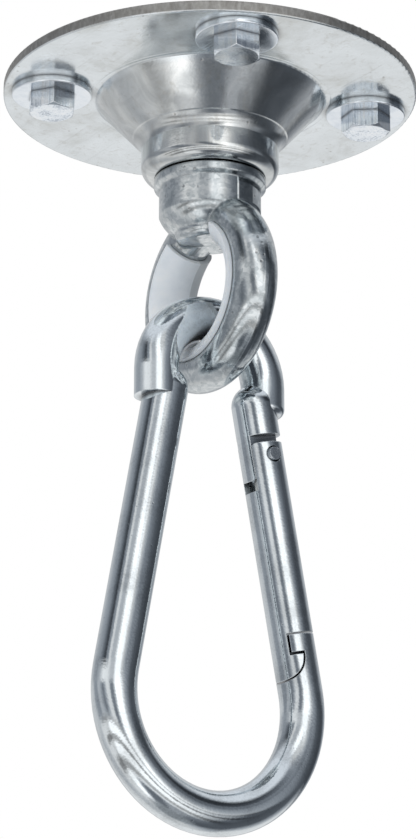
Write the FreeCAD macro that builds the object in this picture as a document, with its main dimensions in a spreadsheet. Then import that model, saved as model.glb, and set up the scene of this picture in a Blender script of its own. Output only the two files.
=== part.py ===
"""Ceiling swivel hook: a pressed round plate with a bearing cup, a lined swivel eye and a snap hook.

Millimetres. The origin is the centre of the plate's ceiling face and +Z points up into the ceiling.
The eye's ring lies in the YZ plane and the snap hook hangs in the XZ plane.
Depths are measured downwards from the ceiling face.
"""
import FreeCAD, Part
import os
import re
import Sketcher
from FreeCAD import Vector

# Driving dimensions: name, value, meaning
SIZES = (
    ("plate_thickness", 3.5, "sheet of the plate"),
    ("rim_margin", 2.35, "plate beyond the washers"),
    ("rim_round", 0.6, "rounding of the sheared rim"),
    ("dome_base_radius", 34.9, "where the cone leaves the plate"),
    ("crease_radius", 23.5, "lower end of the cone"),
    ("crease_depth", 15.9, "lower end of the cone"),
    ("crease_step", 0.4, "step of the pressed line under the cone"),
    ("crease_hollow", 0.5, "depth of the hollow between the pressed line and the cup"),
    ("base_fillet", 1.0, "rounding between plate and cone"),
    ("cup_radius", 20.75, "outside of the bearing cup"),
    ("cup_shoulder_depth", 20.2, "top of the cup's straight wall"),
    ("cup_depth", 29.4, "bottom of the cup"),
    ("cup_corner", 4.0, "outer rounding of the cup's bottom"),
    ("dome_wall", 3.0, "sheet of the cone and cup"),
    ("washer_margin", 0.25, "flat between the cone's rounding and the washers"),
    ("bolt_count", 4, "bolts on the circle"),
    ("bolt_angle", -24.8, "first bolt, from +X"),
    ("head_turn", 22.6, "corner of the first bolt head, from +X"),
    ("head_turn_step", -9.5, "turn from one bolt head to the next"),
    ("bolt_hole", 9.0, "clearance hole in the plate"),
    ("bolt_diameter", 8.0, "thread of the bolts"),
    ("bolt_neck", 7.2, "reduced shank between head and thread"),
    ("bolt_length", 10.0, "bolt under its head"),
    ("bolt_thread_start", 0.8, "start of the thread above the ceiling face"),
    ("head_across_flats", 13.0, "hexagon of the bolt head"),
    ("head_height", 5.3, "bolt head"),
    ("head_face", 12.6, "round face of the bolt head"),
    ("washer_diameter", 24.0, "wide washer"),
    ("washer_hole", 8.4, "bore of the washer"),
    ("washer_thickness", 2.0, "washer"),
    ("washer_round", 0.4, "washer's rounded edge"),
    ("thread_diameter", 16.0, "threaded end of the eye's shank"),
    ("thread_stand", 1.0, "thread end above the nut"),
    ("thread_chamfer", 1.0, "bevel on the thread's end"),
    ("seat_sink", 0.5, "bearing seat below the nut's face"),
    ("shank_diameter", 20.0, "bearing seat on the shank"),
    ("shank_clearance", 0.4, "gap round the shank in the cup"),
    ("collar_gap", 0.4, "gap between the cup and the collar"),
    ("collar_radius", 16.8, "collar at the top of the eye"),
    ("collar_height", 2.4, "straight part of the collar"),
    ("collar_taper", 0.9, "tapered part under the collar"),
    ("neck_radius", 15.3, "body of the eye"),
    ("neck_height", 8.4, "straight part of the body"),
    ("boss_radius", 10.5, "lower end of the body"),
    ("boss_height", 8.5, "narrowing part of the body"),
    ("boss_round", 3.0, "rounding under the body"),
    ("boss_bulge", 0.8, "fullness of the narrowing part"),
    ("boss_overhang", 0.2, "boss below the ring's bar"),
    ("ring_radius", 23.0, "middle line of the ring"),
    ("ring_bar", 13.6, "round bar of the ring"),
    ("bush_thickness", 1.5, "ring's liner"),
    ("bush_clearance", 0.05, "gap behind the liner"),
    ("bush_wrap", 77.0, "half angle of the liner round the bar"),
    ("bush_arc", 296.0, "arc of the liner along the ring"),
    ("bearing_height", 10.0, "thrust bearing"),
    ("race_thickness", 3.3, "each bearing race"),
    ("race_clearance", 0.3, "gap round the races in the cup"),
    ("race_running_gap", 1.0, "gap round the shank in the lower race"),
    ("race_seat_gap", 0.05, "gap round the shank in the upper race"),
    ("ball_diameter", 4.75, "bearing ball"),
    ("ball_clearance", 0.3, "gap between ball, groove and pocket"),
    ("ball_circle", 27.8, "circle through the balls"),
    ("ball_count", 12, "balls in the bearing"),
    ("cage_width", 6.4, "ball cage across its ring"),
    ("cage_thickness", 2.0, "ball cage"),
    ("nut_across_flats", 24.0, "castle nut"),
    ("nut_height", 13.0, "castle nut with its crown"),
    ("nut_crown_height", 5.0, "slotted crown of the nut"),
    ("nut_crown_diameter", 22.0, "turned crown of the nut"),
    ("nut_slot", 4.5, "slots in the crown"),
    ("nut_clearance", 0.05, "gap between nut and thread"),
    ("pin_diameter", 3.6, "split pin"),
    ("pin_clearance", 0.2, "gap round the split pin"),
    ("pin_reach", 13.5, "split pin from the axis to its bends"),
    ("pin_eye_radius", 2.6, "eye of the split pin"),
    ("pin_seam", 0.1, "half of the gap between the split pin's legs"),
    ("pin_bend", 75.0, "angle of the split pin's bent legs"),
    ("wire_diameter", 13.0, "round bar of the snap hook"),
    ("hook_length", 160.0, "snap hook over all"),
    ("hang_clearance", 0.35, "gap between snap hook and liner"),
    ("loop_radius", 18.8, "middle line of the top loop"),
    ("bow_radius", 32.2, "middle line of the lower bow"),
    ("shoulder_drop", 33.8, "top of the hook to the shoulders"),
    ("shoulder_round", 2.6, "rounding of the loop's end over the gate"),
    ("leg_spread", 16.0, "middle line of a leg at its shoulder"),
    ("leg_lap", 3.0, "leg inside the loop's end"),
    ("stub_length", 6.6, "stub above the gate"),
    ("hinge_gap", 2.4, "gap between stub and gate"),
    ("pivot_drop", 3.8, "gate's end to its rivet"),
    ("pivot_offset", 0.0, "rivet outside the gate's middle line"),
    ("rivet_diameter", 4.0, "rivet"),
    ("rivet_fit", 0.05, "running gap round the rivet in the gate"),
    ("rivet_press", 0.02, "gap round the rivet in the tongue"),
    ("rivet_head_diameter", 4.8, "rivet head"),
    ("rivet_seat_depth", 0.9, "recess for the rivet head"),
    ("rivet_dome", 0.5, "rivet head above its recess"),
    ("tongue_thickness", 6.4, "milled tongue of the stub"),
    ("tongue_clearance", 0.15, "gap on each side of the tongue"),
    ("tongue_round", 4.0, "tongue's outer rounding about the rivet"),
    ("tongue_drop", 7.1, "rivet to the tongue's inner end"),
    ("slot_outer_drop", 7.6, "rivet to the slot's outer end"),
    ("slot_inner_drop", 11.2, "rivet to the slot's inner end"),
    ("gate_corner", 1.6, "bevel on the gate's inner top corner"),
    ("latch_depth", 66.4, "shoulder to the tip of the nose"),
    ("latch_gap", 0.5, "gap round the nose"),
    ("latch_head", 5.1, "thickness of the nose's hooked head"),
    ("latch_head_reach", 4.3, "hooked head inside the middle line"),
    ("claw_gap", 0.8, "gap over the gate's claw"),
    ("claw_reach", 1.3, "claw's tip inside the middle line"),
    ("claw_length", 7.2, "height of the claw's curve"),
    ("claw_bend_in", 1.6, "claw's tip to the middle of its curve, inwards"),
    ("claw_bend_down", 4.5, "claw's tip to the middle of its curve, downwards"),
    ("claw_overrun", 1.0, "end of the curve beyond the bar"),
    ("bore_diameter", 5.0, "blind bore of the gate"),
    ("bore_offset", 1.5, "bore inside the gate's middle line"),
    ("bore_end", 41.0, "rivet to the end of the bore"),
    ("plunger_diameter", 4.4, "spring plunger"),
    ("plunger_gap", 0.2, "gap between plunger and tongue"),
    ("plunger_length", 16.0, "spring plunger"),
    ("spring_diameter", 4.4, "gate spring over its wire"),
    ("spring_wire", 0.7, "wire of the gate spring"),
    ("spring_turns", 8, "turns of the gate spring"),
    ("spring_seat", 0.1, "gap at each end of the gate spring"),
)

# Values worked out from the driving dimensions
WORKED = (
    ("bolt_circle", "2 * (dome_base_radius + base_fillet + washer_margin) + washer_diameter"),
    ("plate_diameter", "bolt_circle + washer_diameter + 2 * rim_margin"),
    ("cone_angle", "atan((dome_base_radius - crease_radius) / (crease_depth - plate_thickness))"),
    ("bearing_floor", "cup_depth - dome_wall"),
    ("nut_seat", "bearing_floor - bearing_height"),
    ("nut_top", "nut_seat - nut_height"),
    ("ball_depth", "bearing_floor - bearing_height / 2"),
    ("ball_groove", "ball_diameter / 2 + ball_clearance"),
    ("groove_sink", "bearing_height / 2 - race_thickness"),
    ("groove_half", "sqrt(ball_groove ^ 2 - groove_sink ^ 2)"),
    ("pin_depth", "nut_top + nut_crown_height - pin_diameter / 2 - pin_clearance"),
    ("collar_top", "cup_depth + collar_gap"),
    ("neck_top", "collar_top + collar_height + collar_taper"),
    ("boss_top", "neck_top + neck_height"),
    ("boss_bottom", "boss_top + boss_height"),
    ("ring_depth", "boss_bottom - boss_overhang + ring_radius - ring_bar / 2"),
    ("bush_inner", "ring_bar / 2 + bush_clearance"),
    ("bush_outer", "bush_inner + bush_thickness"),
    ("hook_top", "ring_depth + ring_radius - bush_outer - hang_clearance - wire_diameter"),
    ("loop_depth", "hook_top + wire_diameter / 2 + loop_radius"),
    ("bow_depth", "hook_top + hook_length - wire_diameter / 2 - bow_radius"),
    ("shoulder_depth", "hook_top + shoulder_drop"),
    ("leg_fall", "bow_depth - shoulder_depth"),
    ("leg_angle", "asin(bow_radius / sqrt(leg_spread ^ 2 + leg_fall ^ 2)) - atan(leg_spread / leg_fall)"),
    ("leg_end", "leg_spread - leg_lap * sin(leg_angle)"),
    ("leg_end_depth", "shoulder_depth - leg_lap * cos(leg_angle)"),
    ("gate_top", "stub_length + hinge_gap"),
    ("pivot_depth", "gate_top + pivot_drop"),
    ("claw_top", "latch_depth + latch_head + claw_gap"),
    ("claw_bottom", "claw_top + claw_length"),
    ("cam_slope", "(tongue_drop - tongue_round) / (pivot_offset + wire_diameter / 2)"),
    ("cam_drop", "tongue_round + cam_slope * (pivot_offset + bore_offset)"),
    ("plunger_round", "plunger_diameter / 2"),
    ("plunger_centre", "cam_drop + (plunger_round + plunger_gap) * sqrt(1 + cam_slope ^ 2)"),
    ("plunger_tip", "plunger_centre - plunger_round"),
    ("plunger_end", "plunger_tip + plunger_length"),
    ("spring_height", "bore_end - plunger_end - 2 * spring_seat - spring_wire"),
)

doc = FreeCAD.newDocument("ceiling_swivel_hook")
sheet = doc.addObject("Spreadsheet::Sheet", "Sizes")


def fill_sheet():
    """Write the driving values, then the formulas that follow from them."""
    for row, (alias, number, meaning) in enumerate(SIZES, start=1):
        sheet.set(f"A{row}", alias)
        sheet.set(f"B{row}", str(number))
        sheet.set(f"C{row}", meaning)
        sheet.setAlias(f"B{row}", alias)
    for row, (alias, text) in enumerate(WORKED, start=len(SIZES) + 1):
        sheet.set(f"A{row}", alias)
        sheet.set(f"B{row}", f"={text}")
        sheet.setAlias(f"B{row}", alias)
    doc.recompute()


ALIASES = {entry[0] for entry in SIZES + WORKED}
HEX_SIDES = 6


def formula(text):
    """Point each alias in a formula at the sheet."""
    return re.sub(r"[a-z_]+", lambda word: f"Sizes.{word[0]}" if word[0] in ALIASES else word[0], str(text))


def value(text):
    """The present number of a formula."""
    result = sheet.evalExpression(str(text))
    return float(getattr(result, "Value", result))


def bind(item, **properties):
    """Drive properties of an object by formulas; place_x, place_y and place_z move it."""
    for name, text in properties.items():
        path = f"Placement.Base.{name[-1]}" if name.startswith("place_") else name
        item.setExpression(path, formula(text))
    return item


def solid(kind, name, **properties):
    """A primitive or feature of the document with its sizes bound to the sheet."""
    return bind(doc.addObject(kind, name), **properties)


def turn(item, axis, angle, x="0", y="0", z="0"):
    """Place an object by formulas: turned about an axis, then moved."""
    item.setExpression("Placement", formula(
        f"placement(vector({x}; {y}; {z}); rotation(vector{axis}; {angle}))"))
    return item


def into_leg(item, x="0", y="0", z="0", tilt="0"):
    """Place an object in the right leg's frame: x outwards, y up the leg, z to -Y; tilt is about x."""
    item.setExpression("Placement", formula(
        "placement(vector(leg_spread; 0; -shoulder_depth); "
        "rotation(vector(0; 1; 0); -leg_angle) * rotation(vector(1; 0; 0); 90)) * "
        f"placement(vector({x}; {y}; {z}); rotation(vector(1; 0; 0); {tilt}))"))
    return item


def draw(sketch, corners, closed=True):
    """Draw lines and arcs through corners, each corner held by two formulas.

    A corner is (x, y), or (x, y, via_x, via_y) where an arc through the via point leads to the next.
    """
    count = len(corners)
    spots = [Vector(value(corner[0]), value(corner[1]), 0) for corner in corners]
    starts, ends = {}, {}
    for index in range(count if closed else count - 1):
        follower = (index + 1) % count
        first, last = spots[index], spots[follower]
        if len(corners[index]) == 2:
            edge = sketch.addGeometry(Part.LineSegment(first, last))
            forward = True
        else:
            via = Vector(value(corners[index][2]), value(corners[index][3]), 0)
            forward = (via - first).cross(last - via).z > 0
            arc = Part.Arc(first, via, last) if forward else Part.Arc(last, via, first)
            edge = sketch.addGeometry(arc)
            mark = sketch.addGeometry(Part.Point(via), True)
            hold(sketch, mark, 1, corners[index][2:])
            sketch.addConstraint(Sketcher.Constraint("PointOnObject", mark, 1, edge))
        starts[index] = (edge, 1 if forward else 2)
        ends[follower] = (edge, 2 if forward else 1)
    for index in range(count):
        if index in starts and index in ends:
            sketch.addConstraint(Sketcher.Constraint("Coincident", *ends[index], *starts[index]))
        hold(sketch, *starts.get(index, ends.get(index)), corners[index][:2])


def hold(sketch, geometry, point, spot):
    """Hold one point of a sketch at two formulas from its origin."""
    for kind, text in zip(("DistanceX", "DistanceY"), spot):
        number = sketch.addConstraint(Sketcher.Constraint(kind, -1, 1, geometry, point, value(text)))
        sketch.setExpression(f"Constraints[{number}]", formula(text))


def ring(sketch, x, y, radius):
    """Draw a full circle whose centre and radius follow formulas."""
    circle = sketch.addGeometry(Part.Circle(Vector(value(x), value(y), 0), Vector(0, 0, 1), value(radius)))
    hold(sketch, circle, 3, (x, y))
    number = sketch.addConstraint(Sketcher.Constraint("Radius", circle, value(radius)))
    sketch.setExpression(f"Constraints[{number}]", formula(radius))


def plane_of(body, role):
    """One of the body's own origin planes or axes."""
    return next(feature for feature in body.Origin.OriginFeatures if feature.Role == role)


def sketch_in(body, name, role="XZ_Plane"):
    """A sketch of a body, on one of its origin planes."""
    sketch = body.newObject("Sketcher::SketchObject", name)
    sketch.AttachmentSupport = (plane_of(body, role), [""])
    sketch.MapMode = "FlatFace"
    return sketch


def turned_body(name, corners):
    """A body turned about Z from a half section given as (radius, height) corners."""
    body = doc.addObject("PartDesign::Body", name)
    section = sketch_in(body, f"{name}_section")
    draw(section, corners)
    turned = body.newObject("PartDesign::Revolution", f"{name}_turned")
    turned.Profile = section
    turned.ReferenceAxis = (section, ["V_Axis"])
    turned.Angle = 360
    doc.recompute()
    return body


def drill(body, name, x, y, radius, role="XY_Plane"):
    """Cut a round hole right through a body, both ways from an origin plane."""
    section = sketch_in(body, f"{name}_circle", role)
    ring(section, x, y, radius)
    hole = body.newObject("PartDesign::Pocket", name)
    hole.Profile = section
    hole.Type = "ThroughAll"
    hole.Midplane = True
    doc.recompute()
    return hole


def repeat(body, feature, count):
    """Repeat a feature of a body round Z."""
    pattern = body.newObject("PartDesign::PolarPattern", f"{feature.Name}_pattern")
    pattern.Originals = [feature]
    pattern.Axis = (plane_of(body, "Z_Axis"), [""])
    pattern.Angle = 360
    bind(pattern, Occurrences=count)
    body.Tip = pattern
    doc.recompute()


def soften(body, name, radius, wanted):
    """Round the edges of a body's tip that a test picks out."""
    base = body.Tip
    edges = [f"Edge{number}" for number, edge in enumerate(base.Shape.Edges, start=1) if wanted(edge)]
    rounding = body.newObject("PartDesign::Fillet", name)
    rounding.Base = (base, edges)
    bind(rounding, Radius=radius)
    doc.recompute()


def circle_at(radius, height):
    """A test for a full circular edge about Z with this radius and height."""
    near = 1e-4

    def matches(edge):
        curve = edge.Curve
        if not isinstance(curve, Part.Circle) or abs(abs(curve.Axis.z) - 1) > near:
            return False
        return abs(curve.Radius - value(radius)) < near and abs(curve.Center.z - value(height)) < near

    return matches


def sketch_on_leg(name, corners):
    """A closed outline in the right leg's frame: x outwards, y up the leg from its shoulder."""
    sketch = doc.addObject("Sketcher::SketchObject", name)
    draw(sketch, corners)
    return into_leg(sketch)


def slab(name, sketch, half_width):
    """A plate of an outline, as thick on both sides of the hook's middle plane."""
    plate = doc.addObject("Part::Extrusion", name)
    plate.Base = sketch
    plate.DirMode = "Normal"
    plate.Solid = True
    return bind(plate, LengthFwd=half_width, LengthRev=half_width)


def join(kind, name, *items):
    """Part::Cut or Part::Common of two objects, or Part::MultiFuse and Part::Compound of several."""
    result = doc.addObject(kind, name)
    if kind == "Part::MultiFuse":
        result.Shapes = list(items)
    elif kind == "Part::Compound":
        result.Links = list(items)
    else:
        result.Base, result.Tool = items
    return result


def round_places(count, radius, first="0"):
    """Formulas for the places on a circle about Z."""
    for index in range(int(value(count))):
        angle = f"({first} + {index} * 360 / {count})"
        yield index, f"{radius} * cos({angle})", f"{radius} * sin({angle})"


def make_mounting_plate():
    """Round plate pressed down into a cone and a bearing cup, with a ring of bolt holes."""
    offset_in = "dome_wall * cos(cone_angle)"
    offset_up = "dome_wall * sin(cone_angle)"
    cone_run = "tan(cone_angle)"
    corner_bite = "cup_corner * (1 - sqrt(0.5))"
    inner_cup = "(cup_radius - dome_wall)"
    body = turned_body("mounting_plate", [
        (f"dome_base_radius - {offset_in} + (plate_thickness - {offset_up}) * {cone_run}", "0"),
        ("plate_diameter / 2", "0"),
        ("plate_diameter / 2", "-plate_thickness"),
        ("dome_base_radius", "-plate_thickness"),
        ("crease_radius", "-crease_depth"),
        ("crease_radius - crease_step", "-crease_depth - crease_step / 2",
         "(crease_radius - crease_step + cup_radius) / 2 - crease_hollow",
         "-(crease_depth + crease_step / 2 + cup_shoulder_depth) / 2"),
        ("cup_radius", "-cup_shoulder_depth"),
        ("cup_radius", "cup_corner - cup_depth",
         f"cup_radius - {corner_bite}", f"{corner_bite} - cup_depth"),
        ("cup_radius - cup_corner", "-cup_depth"),
        ("shank_diameter / 2 + shank_clearance", "-cup_depth"),
        ("shank_diameter / 2 + shank_clearance", "-bearing_floor"),
        (inner_cup, "-bearing_floor"),
        (inner_cup, "-cup_shoulder_depth + dome_wall / 2"),
        (f"crease_radius - {offset_in}", f"{offset_up} - crease_depth"),
    ])
    soften(body, "base_rounding", "base_fillet", circle_at("dome_base_radius", "-plate_thickness"))
    rim = (circle_at("plate_diameter / 2", "0"), circle_at("plate_diameter / 2", "-plate_thickness"))
    soften(body, "rim_rounding", "rim_round", lambda edge: any(test(edge) for test in rim))
    hole = drill(body, "bolt_hole_cut", "bolt_circle / 2 * cos(bolt_angle)",
                 "bolt_circle / 2 * sin(bolt_angle)", "bolt_hole / 2")
    repeat(body, hole, "bolt_count")
    return body


def make_mounting_bolts():
    """Hexagon bolts with turned, bevelled heads, pointing up through the plate."""
    bolts = []
    thread_start = "washer_thickness + plate_thickness + bolt_thread_start"
    corner = "head_across_flats / 2 / cos(30)"
    for index, x, y in round_places("bolt_count", "bolt_circle / 2", "bolt_angle"):
        hexagon = solid("Part::Prism", f"bolt_hexagon_{index}", Circumradius=corner, Height="head_height")
        hexagon.Polygon = HEX_SIDES
        bevel = solid("Part::Cone", f"bolt_bevel_{index}",
                      Radius1="head_face / 2", Radius2="head_face / 2 + head_height / tan(30)",
                      Height="head_height")
        head = join("Part::Common", f"bolt_head_{index}", hexagon, bevel)
        neck = solid("Part::Cylinder", f"bolt_neck_{index}", Radius="bolt_neck / 2",
                     Height=f"head_height + {thread_start}")
        thread = solid("Part::Cylinder", f"bolt_thread_{index}", Radius="bolt_diameter / 2",
                       Height=f"bolt_length - ({thread_start})", place_z=f"head_height + {thread_start}")
        bolt = join("Part::MultiFuse", f"bolt_{index}", head, neck, thread)
        turn(bolt, "(0; 0; 1)", f"head_turn + {index} * head_turn_step", x, y,
             "-plate_thickness - washer_thickness - head_height")
        bolts.append(bolt)
    return join("Part::Compound", "mounting_bolts", *bolts)


def make_mounting_washers():
    """Wide plain washers under the bolt heads."""
    washers = []
    for index, x, y in round_places("bolt_count", "bolt_circle / 2", "bolt_angle"):
        disc = solid("Part::Cylinder", f"washer_disc_{index}", Radius="washer_diameter / 2",
                     Height="washer_thickness")
        hole = solid("Part::Cylinder", f"washer_hole_{index}", Radius="washer_hole / 2",
                     Height="washer_thickness")
        washer = join("Part::Cut", f"washer_{index}", disc, hole)
        doc.recompute()
        edge = doc.addObject("Part::Fillet", f"washer_edge_{index}")
        edge.Base = washer
        rim = circle_at("washer_diameter / 2", "0")
        edge.Edges = [(number, value("washer_round"), value("washer_round"))
                      for number, line in enumerate(washer.Shape.Edges, start=1) if rim(line)]
        bind(edge, place_x=x, place_y=y, place_z="-plate_thickness - washer_thickness")
        washers.append(edge)
    return join("Part::Compound", "mounting_washers", *washers)


def make_swivel_eye():
    """Forged eye: threaded shank, bearing seat, collar, body and round ring."""
    shank = "shank_diameter / 2"
    thread = "thread_diameter / 2"
    step = "-nut_seat - seat_sink"
    boss_bite = "boss_round * (1 - sqrt(0.5))"
    body = turned_body("swivel_eye", [
        ("0", "thread_stand - nut_top"),
        (f"{thread} - thread_chamfer", "thread_stand - nut_top"),
        (thread, "thread_stand - thread_chamfer - nut_top"),
        (thread, step),
        (shank, step),
        (shank, "-collar_top"),
        ("collar_radius", "-collar_top"),
        ("collar_radius", "-collar_top - collar_height"),
        ("neck_radius", "-neck_top"),
        ("neck_radius", "-boss_top",
         "(neck_radius + boss_radius) / 2 + boss_bulge", "-(boss_top + boss_bottom - boss_round) / 2"),
        ("boss_radius", "boss_round - boss_bottom",
         f"boss_radius - {boss_bite}", f"{boss_bite} - boss_bottom"),
        ("boss_radius - boss_round", "-boss_bottom"),
        ("0", "-boss_bottom"),
    ])
    section = sketch_in(body, "ring_section")
    ring(section, "0", "-ring_depth - ring_radius", "ring_bar / 2")
    middle = -value("ring_depth")
    reach = value("ring_bar")
    axis = section.addGeometry(Part.LineSegment(Vector(-reach, middle, 0), Vector(reach, middle, 0)), True)
    hold(section, axis, 1, ("-ring_bar", "-ring_depth"))
    hold(section, axis, 2, ("ring_bar", "-ring_depth"))
    bar = body.newObject("PartDesign::Revolution", "ring_bar_turned")
    bar.Profile = section
    bar.ReferenceAxis = (section, ["Axis0"])
    bar.Angle = 360
    doc.recompute()
    drill(body, "pin_hole", "0", "-pin_depth", "pin_diameter / 2 + pin_clearance", "YZ_Plane")
    return body


def make_eye_bush():
    """Split nylon liner hugging the inner side of the ring."""
    body = doc.addObject("PartDesign::Body", "eye_bush")
    section = sketch_in(body, "bush_section")
    lip_x = "bush_outer * sin(bush_wrap)"
    lip_y = "bush_outer * cos(bush_wrap) - ring_radius"
    back_x = "bush_inner * sin(bush_wrap)"
    back_y = "bush_inner * cos(bush_wrap) - ring_radius"
    draw(section, [
        (f"-{back_x}", back_y, "0", "bush_inner - ring_radius"),
        (back_x, back_y),
        (lip_x, lip_y, "0", "bush_outer - ring_radius"),
        (f"-{lip_x}", lip_y),
    ])
    turned = body.newObject("PartDesign::Revolution", "bush_turned")
    turned.Profile = section
    turned.ReferenceAxis = (section, ["H_Axis"])
    turned.Midplane = True
    bind(turned, Angle="bush_arc")
    bind(body, place_z="-ring_depth")
    return body


def make_race(name, bore, seat, side):
    """One bearing race: a flat ring with a ball groove in its upper (side 1) or lower (side -1) face."""
    outer = "cup_radius - dome_wall - race_clearance"
    circle = "ball_circle / 2"
    face = f"{seat} + {side} * race_thickness"
    return turned_body(name, [
        (bore, seat),
        (outer, seat),
        (outer, face),
        (f"{circle} + groove_half", face, circle, f"{face} - {side} * (ball_groove - groove_sink)"),
        (f"{circle} - groove_half", face),
        (bore, face),
    ])


def make_bearing_cage():
    """Flat ring with a pocket for each ball."""
    inner = "ball_circle / 2 - cage_width / 2"
    outer = "ball_circle / 2 + cage_width / 2"
    low = "-ball_depth - cage_thickness / 2"
    high = "-ball_depth + cage_thickness / 2"
    body = turned_body("bearing_cage", [(inner, low), (outer, low), (outer, high), (inner, high)])
    pocket = drill(body, "ball_pocket", "ball_circle / 2", "0", "ball_groove")
    repeat(body, pocket, "ball_count")
    return body


def make_bearing_balls():
    """The ring of bearing balls."""
    balls = []
    for index, x, y in round_places("ball_count", "ball_circle / 2"):
        ball = solid("Part::Sphere", f"ball_{index}", Radius="ball_diameter / 2")
        bind(ball, place_x=x, place_y=y, place_z="-ball_depth")
        balls.append(ball)
    return join("Part::Compound", "bearing_balls", *balls)


def make_castle_nut():
    """Hexagon nut with a turned, slotted crown."""
    wall = "(nut_height - nut_crown_height)"
    hexagon = solid("Part::Prism", "nut_hexagon", Circumradius="nut_across_flats / 2 / cos(30)", Height=wall)
    hexagon.Polygon = HEX_SIDES
    turn(hexagon, "(0; 0; 1)", "180 / " + str(HEX_SIDES))
    crown = solid("Part::Cylinder", "nut_crown", Radius="nut_crown_diameter / 2", Height="nut_height")
    bore = solid("Part::Cylinder", "nut_bore", Radius="thread_diameter / 2 + nut_clearance",
                 Height="nut_height")
    slots = []
    for index in range(HEX_SIDES // 2):
        slot = solid("Part::Box", f"nut_slot_{index}", Length="2 * nut_across_flats", Width="nut_slot",
                     Height="nut_crown_height")
        angle = f"({360 // HEX_SIDES * index})"
        turn(slot, "(0; 0; 1)", angle,
             f"nut_slot / 2 * sin{angle} - nut_across_flats * cos{angle}",
             f"-nut_slot / 2 * cos{angle} - nut_across_flats * sin{angle}", wall)
        slots.append(slot)
    blank = join("Part::MultiFuse", "nut_blank", hexagon, crown)
    nut = join("Part::Cut", "castle_nut", blank, join("Part::MultiFuse", "nut_cuts", bore, *slots))
    return bind(nut, place_z="-nut_seat")


def make_split_pin():
    """Split pin through the crown, with its eye on one side and its legs bent round on the other."""
    middle = "pin_diameter / 4"
    leg = f"{middle} - pin_seam"
    bend = "pin_diameter"
    shaft = solid("Part::Cylinder", "pin_shaft", Radius="pin_diameter / 2", Height="2 * pin_reach")
    turn(shaft, "(0; 1; 0)", "90", x="-pin_reach", z="-pin_depth")
    eye = solid("Part::Torus", "pin_eye", Radius1="pin_eye_radius", Radius2=leg)
    turn(eye, "(0; 0; 1)", "0", x="pin_reach + pin_eye_radius", z="-pin_depth")
    legs = []
    for side in (1, -1):
        curl = solid("Part::Torus", f"pin_leg_{(side + 1) // 2}", Radius1=bend, Radius2=leg)
        bind(curl, Angle3="pin_bend")
        start = "90" if side > 0 else "270 - pin_bend"
        turn(curl, "(0; 0; 1)", start, x="-pin_reach", y=f"{side} * ({middle} - {bend})", z="-pin_depth")
        legs.append(curl)
    return join("Part::MultiFuse", "split_pin", shaft, eye, *legs)


def upright_sketch(name):
    """A sketch in the XZ plane."""
    sketch = doc.addObject("Sketcher::SketchObject", name)
    sketch.Placement = FreeCAD.Placement(Vector(0, 0, 0), FreeCAD.Rotation(Vector(1, 0, 0), 90))
    return sketch


def bow_path():
    """Middle line of the lower bar: down the left leg, round the bow and up the right leg."""
    path = upright_sketch("bow_path")
    bend_x = "bow_radius * cos(leg_angle)"
    bend_y = "bow_radius * sin(leg_angle) - bow_depth"
    draw(path, [
        ("-leg_end", "-leg_end_depth"),
        (f"-{bend_x}", bend_y, "0", "-bow_depth - bow_radius"),
        (bend_x, bend_y),
        ("leg_end", "-leg_end_depth"),
    ], closed=False)
    return path


def loop_path():
    """Middle line of the top loop, from shoulder to shoulder."""
    path = upright_sketch("loop_path")
    draw(path, [
        ("-loop_radius", "-shoulder_depth"),
        ("-loop_radius", "-loop_depth", "0", "loop_radius - loop_depth"),
        ("loop_radius", "-loop_depth"),
        ("loop_radius", "-shoulder_depth"),
    ], closed=False)
    return path


def wire_section(name, x, depth, lean):
    """The bar's round section at the left end of a middle line."""
    section = doc.addObject("Sketcher::SketchObject", name)
    ring(section, "0", "0", "wire_diameter / 2")
    return turn(section, "(0; 1; 0)", lean, x=f"-{x}", z=f"-{depth}")


def rod(name, section, path):
    """The bar swept along one of its middle lines."""
    doc.recompute()
    bar = doc.addObject("Part::Sweep", name)
    bar.Sections = [section]
    bar.Spine = (path, [f"Edge{number}" for number in range(1, len(path.Shape.Edges) + 1)])
    bar.Solid = True
    bar.Frenet = False
    return bar


def latch_claw(gap):
    """The claw's edge from the nose's head to the inner side, drawn outside the claw by a gap."""
    return [
        (f"{gap} - claw_reach", "-claw_top",
         f"{gap} * sqrt(0.5) - claw_reach - claw_bend_in", f"-claw_top - claw_bend_down - {gap} * sqrt(0.5)"),
        ("-wire_diameter / 2 - claw_overrun", f"-claw_bottom - {gap}"),
    ]


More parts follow.
